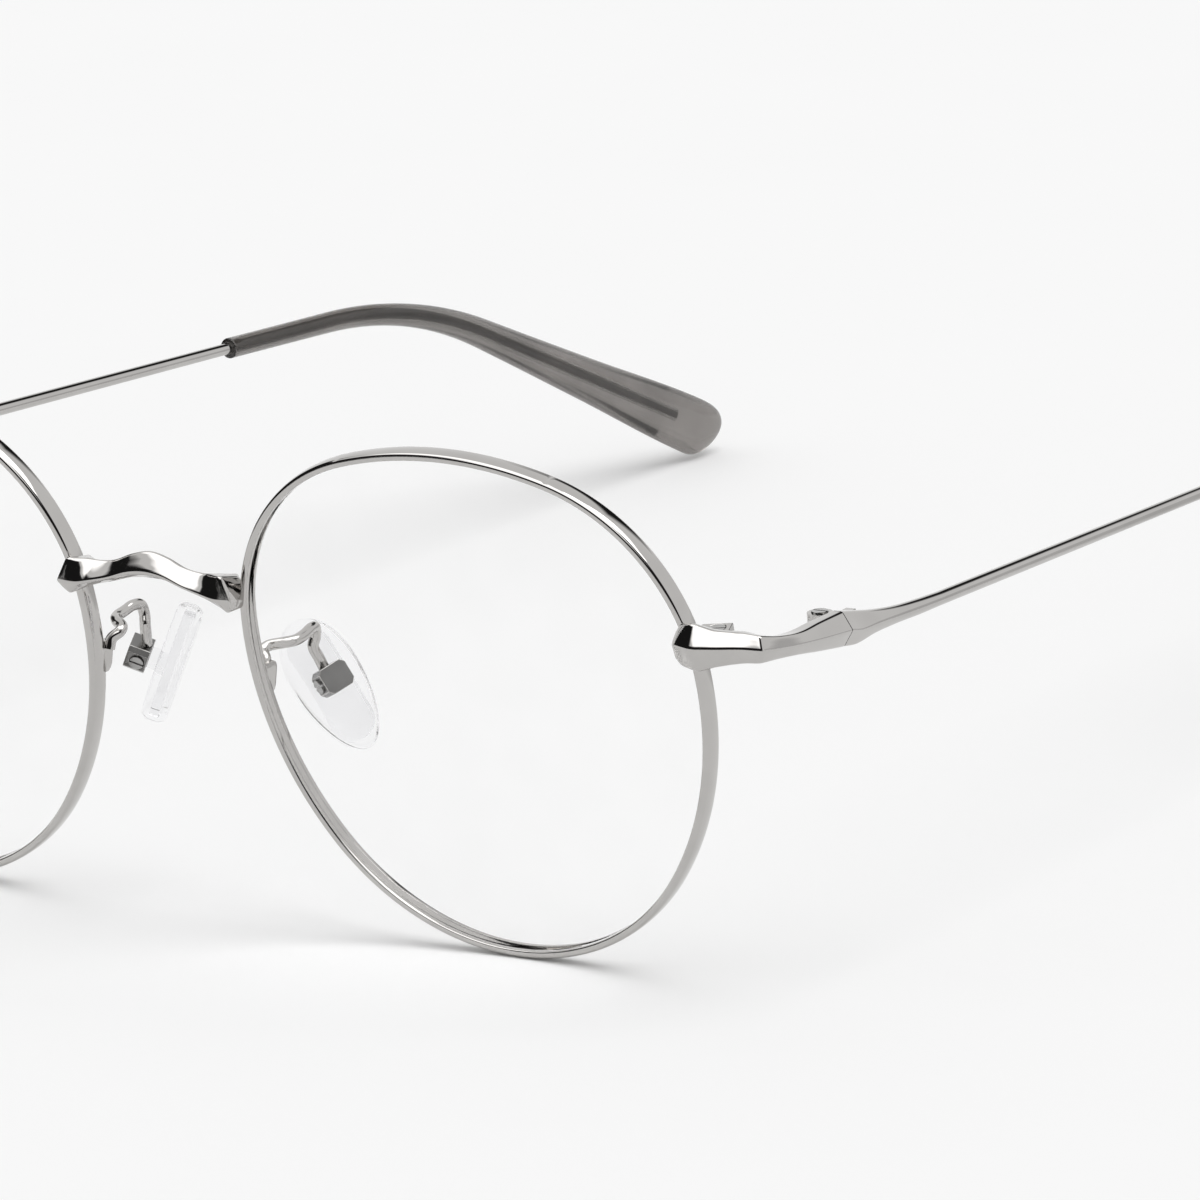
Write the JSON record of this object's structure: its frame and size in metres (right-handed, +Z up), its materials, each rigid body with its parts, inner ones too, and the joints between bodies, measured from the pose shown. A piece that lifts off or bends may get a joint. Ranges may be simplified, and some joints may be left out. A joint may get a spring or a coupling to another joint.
{
  "type": "eyeglass frame",
  "caption": "Full-rim metal eyeglass frame with round grooved rims, clear lenses, sculpted bridge and end pieces, adjustable nose pads, screw hinges and wire temples with curved translucent tips.",
  "frame": {"origin": "bottom centre of the bounding box of the frame with its temples open, standing on the bottoms of its rims", "axes": "+X to the wearer's left, +Y from the front back to the temple tips, +Z up; millimetres in the source, metres in this record"},
  "size_m": [0.1294, 0.1641, 0.0482],
  "materials": {
    "polished_metal": "mirror-polished silver plating over nickel alloy wire",
    "screws": "turned steel screws",
    "lens": "clear, polished",
    "pad_silicone": "clear soft silicone",
    "pad_core": "clear hard plastic",
    "smoke_tip": "translucent smoke acetate, polished"
  },
  "bodies": {
    "frame_front": {"bridge": "polished_metal", "rim_left": "polished_metal", "rim_right": "polished_metal", "lens_left": "lens", "lens_right": "lens", "endpiece_left": "polished_metal", "endpiece_right": "polished_metal", "rim_lock_upper_left": "polished_metal", "rim_lock_upper_right": "polished_metal", "rim_lock_lower_left": "polished_metal", "rim_lock_lower_right": "polished_metal", "rim_lock_screw_left": "screws", "rim_lock_screw_right": "screws", "hinge_front_left": "polished_metal", "hinge_front_right": "polished_metal", "hinge_screw_left": "screws", "hinge_screw_right": "screws", "pad_arm_left": "polished_metal", "pad_arm_right": "polished_metal", "pad_box_left": "polished_metal", "pad_box_right": "polished_metal", "pad_screw_left": "screws", "pad_screw_right": "screws"},
    "nose_pad_left_body": {"pad_core_left": "pad_core", "nose_pad_left": "pad_silicone"},
    "temple_left_body": {"temple_left": "polished_metal", "temple_knuckle_left": "polished_metal", "temple_tip_left": "smoke_tip"},
    "nose_pad_right_body": {"pad_core_right": "pad_core", "nose_pad_right": "pad_silicone"},
    "temple_right_body": {"temple_right": "polished_metal", "temple_knuckle_right": "polished_metal", "temple_tip_right": "smoke_tip"}
  },
  "joints": [
    {"name": "temple_fold_left", "type": "hinge", "parent": "frame_front", "child": "temple_left_body", "pos_m": [0.06141, -0.06492, 0.0312], "axis": [0, 0, 1], "range_deg": [0, 86]},
    {"name": "nose_pad_rock_left", "type": "hinge", "parent": "frame_front", "child": "nose_pad_left_body", "pos_m": [0.01077, -0.06892, 0.02201], "axis": [0.3431, 0.8823, 0.3222], "range_deg": [-8, 8]},
    {"name": "temple_fold_right", "type": "hinge", "parent": "frame_front", "child": "temple_right_body", "pos_m": [-0.06141, -0.06492, 0.0312], "axis": [0, 0, -1], "range_deg": [0, 80]},
    {"name": "nose_pad_rock_right", "type": "hinge", "parent": "frame_front", "child": "nose_pad_right_body", "pos_m": [-0.01077, -0.06892, 0.02201], "axis": [-0.3431, 0.8823, 0.3222], "range_deg": [-8, 8]}
  ]
}
